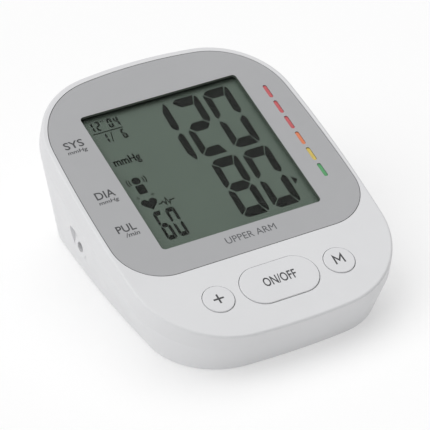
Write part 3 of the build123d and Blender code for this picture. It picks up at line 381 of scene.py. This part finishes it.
def solid_artwork(name, outlines, material, body, place):
    """One closed thin solid for each flat outline, drawn in metres and placed by a matrix."""
    mesh = bpy.data.meshes.new(name)
    build = bmesh.new()
    for outline in outlines:
        area = sum(a.x * b.y - b.x * a.y for a, b in zip(outline, outline[1:] + outline[:1]))
        ring = outline if area > 0 else outline[::-1]
        bottom = [build.verts.new((p.x, p.y, 0)) for p in ring]
        top = [build.verts.new((p.x, p.y, PRINT_THICKNESS)) for p in ring]
        build.faces.new(bottom[::-1])
        build.faces.new(top)
        for i in range(len(ring)):
            j = (i + 1) % len(ring)
            build.faces.new((bottom[i], bottom[j], top[j], top[i]))
    build.normal_update()
    bmesh.ops.triangulate(build, faces=build.faces)
    build.to_mesh(mesh)
    build.free()
    piece = bpy.data.objects.new(name, mesh)
    bpy.context.scene.collection.objects.link(piece)
    mesh.materials.append(material)
    mesh.transform(place)
    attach(piece, body)


def lettering(name, text, u, v, height, width, material, body, level, bold=0.0, slant=0.0):
    """Plain printed lettering: capital height and total width in millimetres, centred at u, v."""
    curve = bpy.data.curves.new(name, "FONT")
    curve.body = text
    curve.offset = bold
    curve.shear = slant
    curve.resolution_u = 3
    curve.fill_mode = "BOTH"
    curve.extrude = LETTER_EXTRUDE
    source = bpy.data.objects.new(name, curve)
    bpy.context.scene.collection.objects.link(source)
    bpy.context.view_layer.update()
    evaluated = source.evaluated_get(bpy.context.evaluated_depsgraph_get())
    mesh = bpy.data.meshes.new_from_object(evaluated)
    bpy.data.objects.remove(source)
    bpy.data.curves.remove(curve)
    xs = [p.co.x for p in mesh.vertices]
    ys = [p.co.y for p in mesh.vertices]
    x_scale = width * MM / (max(xs) - min(xs))
    y_scale = height * MM / (max(ys) - min(ys))
    z_scale = PRINT_THICKNESS / (2 * LETTER_EXTRUDE)
    scale = Matrix.Diagonal((x_scale, y_scale, z_scale, 1))
    shift = Matrix.Translation((-(max(xs) + min(xs)) / 2, -(max(ys) + min(ys)) / 2, LETTER_EXTRUDE))
    mesh.transform(panel_matrix(u * MM, v * MM, level) @ scale @ shift)
    weld = bmesh.new()
    weld.from_mesh(mesh)
    bmesh.ops.remove_doubles(weld, verts=weld.verts, dist=WELD_DISTANCE)
    weld.to_mesh(mesh)
    weld.free()
    mesh.name = name
    mesh.materials.clear()
    mesh.materials.append(material)
    piece = bpy.data.objects.new(name, mesh)
    bpy.context.scene.collection.objects.link(piece)
    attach(piece, body)


def stroke(points, width):
    """Outline of a polyline of even width with square ends and mitred corners."""
    points = [Vector(p) for p in points]
    left, right = [], []
    for i, point in enumerate(points):
        ahead = (points[i + 1] - point).normalized() if i < len(points) - 1 else None
        behind = (point - points[i - 1]).normalized() if i > 0 else None
        if ahead is None or behind is None:
            direction = ahead or behind
            stretch = 1.0
        else:
            direction = (ahead + behind).normalized()
            stretch = 1 / max(direction.dot(ahead), LEAST_MITRE)
        side = Vector((-direction.y, direction.x)) * (width / 2 * stretch)
        left.append(point + side)
        right.append(point - side)
    return left + right[::-1]


def scaled(points):
    """Points drawn in millimetres, in metres."""
    return [Vector(p) * MM for p in points]


# ---------------------------------------------------------------- display content

SEGMENTS_LIT = {
    "0": "abcdef", "1": "bc", "2": "abdeg", "4": "bcfg", "6": "acdefg", "8": "abcdefg",
}

# Upper half of a digit: each corner is its side, posts in from it, level and bars down from it
UPPER_SEGMENTS = {
    "a": (
        ("left", 0.23, "top", 0.36), ("left", 0.43, "top", 0.18), ("left", 0.87, "top", 0.0),
        ("right", 0.47, "top", 0.0), ("right", 1.05, "top", 1.0), ("left", 1.12, "top", 1.0),
    ),
    "b": (
        ("right", 0.33, "top", 0.07), ("right", 0.13, "top", 0.22), ("right", 0.0, "top", 0.5),
        ("right", 0.0, "mid", -0.48), ("right", 0.37, "mid", -0.13), ("right", 1.02, "mid", -0.56),
        ("right", 0.97, "top", 0.97),
    ),
    "f": (
        ("left", 0.1, "top", 0.42), ("left", 0.95, "top", 0.95), ("left", 0.87, "mid", -0.53),
        ("left", 0.2, "mid", -0.12), ("left", 0.0, "mid", -0.44), ("left", 0.0, "top", 0.5),
    ),
    "g": (
        ("left", 0.45, "mid", 0.0), ("left", 1.1, "mid", -0.5), ("right", 1.1, "mid", -0.5),
        ("right", 0.45, "mid", 0.0), ("right", 1.1, "mid", 0.5), ("left", 1.1, "mid", 0.5),
    ),
}
MIRRORED = {"d": "a", "c": "b", "e": "f"}


def digit_outlines(character, left, bottom, width, height, bar, post, slant=0.03):
    """Outlines of a seven-segment digit; bar and post are its level and upright segments' widths."""
    result = []
    for segment in SEGMENTS_LIT[character]:
        corners = []
        for side, posts, level, bars in UPPER_SEGMENTS[MIRRORED.get(segment, segment)]:
            x = posts * post if side == "left" else width - posts * post
            y = (height if level == "top" else height / 2) - bars * bar
            if segment in MIRRORED:
                y = height - y
            corners.append((left + x + slant * y, bottom + y))
        result.append(smooth_corners(scaled(corners), SEGMENT_ROUNDING * bar * MM))
    return result


def arc_points(centre, radius, start, end, steps=8):
    """Points along an arc, angles in degrees."""
    angles = [math.radians(start + (end - start) * i / steps) for i in range(steps + 1)]
    return [(centre[0] + radius * math.cos(a), centre[1] + radius * math.sin(a)) for a in angles]


def heart_outline(centre, size):
    """Heart from its usual parametric curve, size millimetres wide."""
    points = []
    for i in range(40):
        t = 2 * math.pi * i / 40
        x = 16 * math.sin(t) ** 3
        y = 13 * math.cos(t) - 5 * math.cos(2 * t) - 2 * math.cos(3 * t) - math.cos(4 * t)
        points.append((centre[0] + x * size / 32, centre[1] + y * size / 32))
    return points


def display_artwork():
    """Systolic over diastolic at the right; clock, moving person, heartbeat and pulse at the left."""
    art = []
    big = dict(width=11.5, bar=4.55, post=3.0)
    for character, left in (("1", -10.5), ("2", 3.1), ("0", 16.7)):
        art += digit_outlines(character, left, 1.5, height=30.9, **big)
    for character, left in (("8", 3.1), ("0", 16.7)):
        art += digit_outlines(character, left, -30.6, height=30.1, **big)
    for character, left in (("6", -28.4), ("0", -23.3)):
        art += digit_outlines(character, left, -29.8, 4.0, 14.3, 2.1, 1.2, 0.01)
    # Clock and date
    small = dict(width=2.0, height=4.8, bar=0.86, post=0.8, slant=0.02)
    for character, left in (("1", -31.6), ("2", -28.7), ("0", -23.6), ("4", -20.9)):
        art += digit_outlines(character, left, 27.9, **small)
    for character, left in (("1", -28.6), ("6", -20.9)):
        art += digit_outlines(character, left, 21.3, **small)
    art.append(scaled(stroke([(-25.6, 21.3), (-24.4, 26.0)], 0.4)))
    for x in (-25.6, -24.9):
        art.append(scaled(stroke([(x, 31.7), (x, 32.6)], 0.32)))
    art.append(scaled(stroke([(-31.3, 26.9), (-18.9, 26.9)], 0.5)))
    # Person with shake arcs
    art.append(scaled(arc_points((-26.6, 0.5), 1.75, 0, 350, 24)))
    body = [(-28.3, -6.2), (-24.7, -6.2), (-24.7, -1.7), (-28.3, -1.7)]
    art.append(smooth_corners(scaled(body), 0.7 * MM))
    for radius in (2.9, 3.9):
        art.append(scaled(stroke(arc_points((-26.5, 0.3), radius, 154, 206), 0.48)))
        art.append(scaled(stroke(arc_points((-26.5, 0.3), radius, -26, 26), 0.48)))
    # Beating heart and its trace
    art.append(scaled(heart_outline((-26.7, -11.3), 6.4)))
    for side in (-1, 1):
        for radius in (4.0, 4.7):
            tick = arc_points((-26.7, -10.6), radius, 90 + side * 36, 90 + side * 52, 3)
            art.append(scaled(stroke(tick, 0.3)))
    trace = [
        (-23.8, -12.8), (-22.4, -12.6), (-21.9, -12.0), (-21.4, -12.4), (-20.9, -13.7),
        (-20.2, -10.6), (-19.5, -13.8), (-18.8, -12.1), (-18.2, -12.3), (-16.8, -12.1),
    ]
    art.append(scaled(stroke(trace, 0.52)))
    # Pointer to the level marks
    art.append(smooth_corners(scaled([(29.8, -22.3), (31.9, -20.2), (29.8, -18.1)]), 0.2 * MM))
    solid_artwork(
        "lcd_segments", art, segment_ink, CASE,
        panel_matrix(0, 0, ARTWORK_LEVEL),
    )


display_artwork()
lettering(
    "lcd_unit", "mmHg", -25.0, 10.8, 5.0, 11.2, segment_ink, CASE,
    ARTWORK_LEVEL, bold=0.028,
)

# ---------------------------------------------------------------- printed labels

FACE = 0.0
LABEL_U = -41.7
for label_name, text, v, height, width in (
    ("label_systolic", "SYS", 23.4, 3.6, 8.0),
    ("label_diastolic", "DIA", -3.0, 3.6, 7.8),
    ("label_pulse", "PUL", -20.4, 3.5, 7.6),
):
    lettering(label_name, text, LABEL_U, v, height, width, label_ink, CASE, FACE, bold=0.014)
for label_name, text, u, v, height, width in (
    ("label_systolic_unit", "mmHg", LABEL_U, 19.7, 2.2, 8.2),
    ("label_diastolic_unit", "mmHg", LABEL_U, -6.7, 2.2, 8.2),
    ("label_pulse_unit", "/min", -40.6, -23.7, 2.0, 5.8),
):
    lettering(
        label_name, text, u, v, height, width, label_ink, CASE, FACE,
        bold=0.013, slant=0.15,
    )
lettering("label_kind", "UPPER ARM", 0.6, -39.3, 3.0, 21.0, mark_ink, CASE, FACE)

BUTTON_V = -62.5
BUTTON_TOP = 0.35 * MM
ROUND_U = 25.4
lettering(
    "label_on_off", "ON/OFF", 0.3, BUTTON_V + 0.5, 4.1, 13.6, label_ink, "power_button",
    BUTTON_TOP, bold=0.014,
)
plus_arm, plus_width = 2.1, 0.72
plus_outline = [
    (-plus_width / 2, -plus_arm), (plus_width / 2, -plus_arm), (plus_width / 2, -plus_width / 2),
    (plus_arm, -plus_width / 2), (plus_arm, plus_width / 2), (plus_width / 2, plus_width / 2),
    (plus_width / 2, plus_arm), (-plus_width / 2, plus_arm), (-plus_width / 2, plus_width / 2),
    (-plus_arm, plus_width / 2), (-plus_arm, -plus_width / 2), (-plus_width / 2, -plus_width / 2),
]
solid_artwork(
    "label_plus", [scaled(plus_outline)], label_ink, "plus_button",
    panel_matrix(-ROUND_U * MM, BUTTON_V * MM, BUTTON_TOP),
)
letter_line = 0.66
letter_m = stroke([(-1.8, -1.95), (-1.65, 1.95), (0, -0.5), (1.65, 1.95), (1.8, -1.95)], letter_line)
solid_artwork(
    "label_memory", [scaled(letter_m)], label_ink, "memory_button",
    panel_matrix(ROUND_U * MM, (BUTTON_V + 0.3) * MM, BUTTON_TOP),
)

# ---------------------------------------------------------------- floor, light and camera

FLOOR_SIZE = 12.0
FLOOR_GLOW = 0.375
SKY_STRENGTH = 0.315
FOCAL_LENGTH, SENSOR_WIDTH = 214.09, 36.0


def floor_material():
    s = Shader("floor_white", (0.62, 0.62, 0.62), 0.9)
    s.shader.inputs["Specular IOR Level"].default_value = 0.0
    s.shader.inputs["Emission Color"].default_value = (1, 1, 1, 1)
    s.shader.inputs["Emission Strength"].default_value = FLOOR_GLOW
    s.vary_color(1.5, 0.004)
    return s.material


bpy.ops.mesh.primitive_plane_add(size=FLOOR_SIZE, location=(0, 0, 0))
floor = bpy.context.object
floor.name = "floor"
floor.data.materials.append(floor_material())


def soft_light(name, source, strength, spread):
    """Even light from one direction; spread is the source's width in degrees."""
    light = bpy.data.lights.new(name, "SUN")
    light.energy = strength * math.pi
    light.angle = math.radians(spread)
    holder = bpy.data.objects.new(name, light)
    bpy.context.scene.collection.objects.link(holder)
    holder.rotation_mode = "QUATERNION"
    holder.rotation_quaternion = (-Vector(source)).to_track_quat("-Z", "Y")


soft_light("top_light", (0.20, 0.36, 1.0), 0.35, 60)
soft_light("left_light", (-0.66, 0.04, 0.75), 0.44, 60)

world = bpy.data.worlds.new("studio")
bpy.context.scene.world = world
world.use_nodes = True
world.node_tree.nodes["Background"].inputs["Color"].default_value = (1, 1, 1, 1)
world.node_tree.nodes["Background"].inputs["Strength"].default_value = SKY_STRENGTH
bpy.context.scene.view_settings.view_transform = "Standard"

AZIMUTH, ELEVATION = math.radians(-29.26), math.radians(33.52)
DISTANCE = 962.09 * MM
AIM_RIGHT, AIM_UP = 5.68 * MM, -20.96 * MM
BACK = Vector((
    math.sin(AZIMUTH) * math.cos(ELEVATION),
    -math.cos(AZIMUTH) * math.cos(ELEVATION),
    math.sin(ELEVATION),
))
RIGHT = Vector((math.cos(AZIMUTH), math.sin(AZIMUTH), 0))
UP = BACK.cross(RIGHT)
camera_data = bpy.data.cameras.new("camera")
camera_data.lens = FOCAL_LENGTH
camera_data.sensor_width = SENSOR_WIDTH
camera = bpy.data.objects.new("camera", camera_data)
bpy.context.scene.collection.objects.link(camera)
camera.rotation_mode = "QUATERNION"
camera.rotation_quaternion = (-BACK).to_track_quat("-Z", "Y")
camera.location = PANEL_CENTRE + BACK * DISTANCE + RIGHT * AIM_RIGHT + UP * AIM_UP
bpy.context.scene.camera = camera
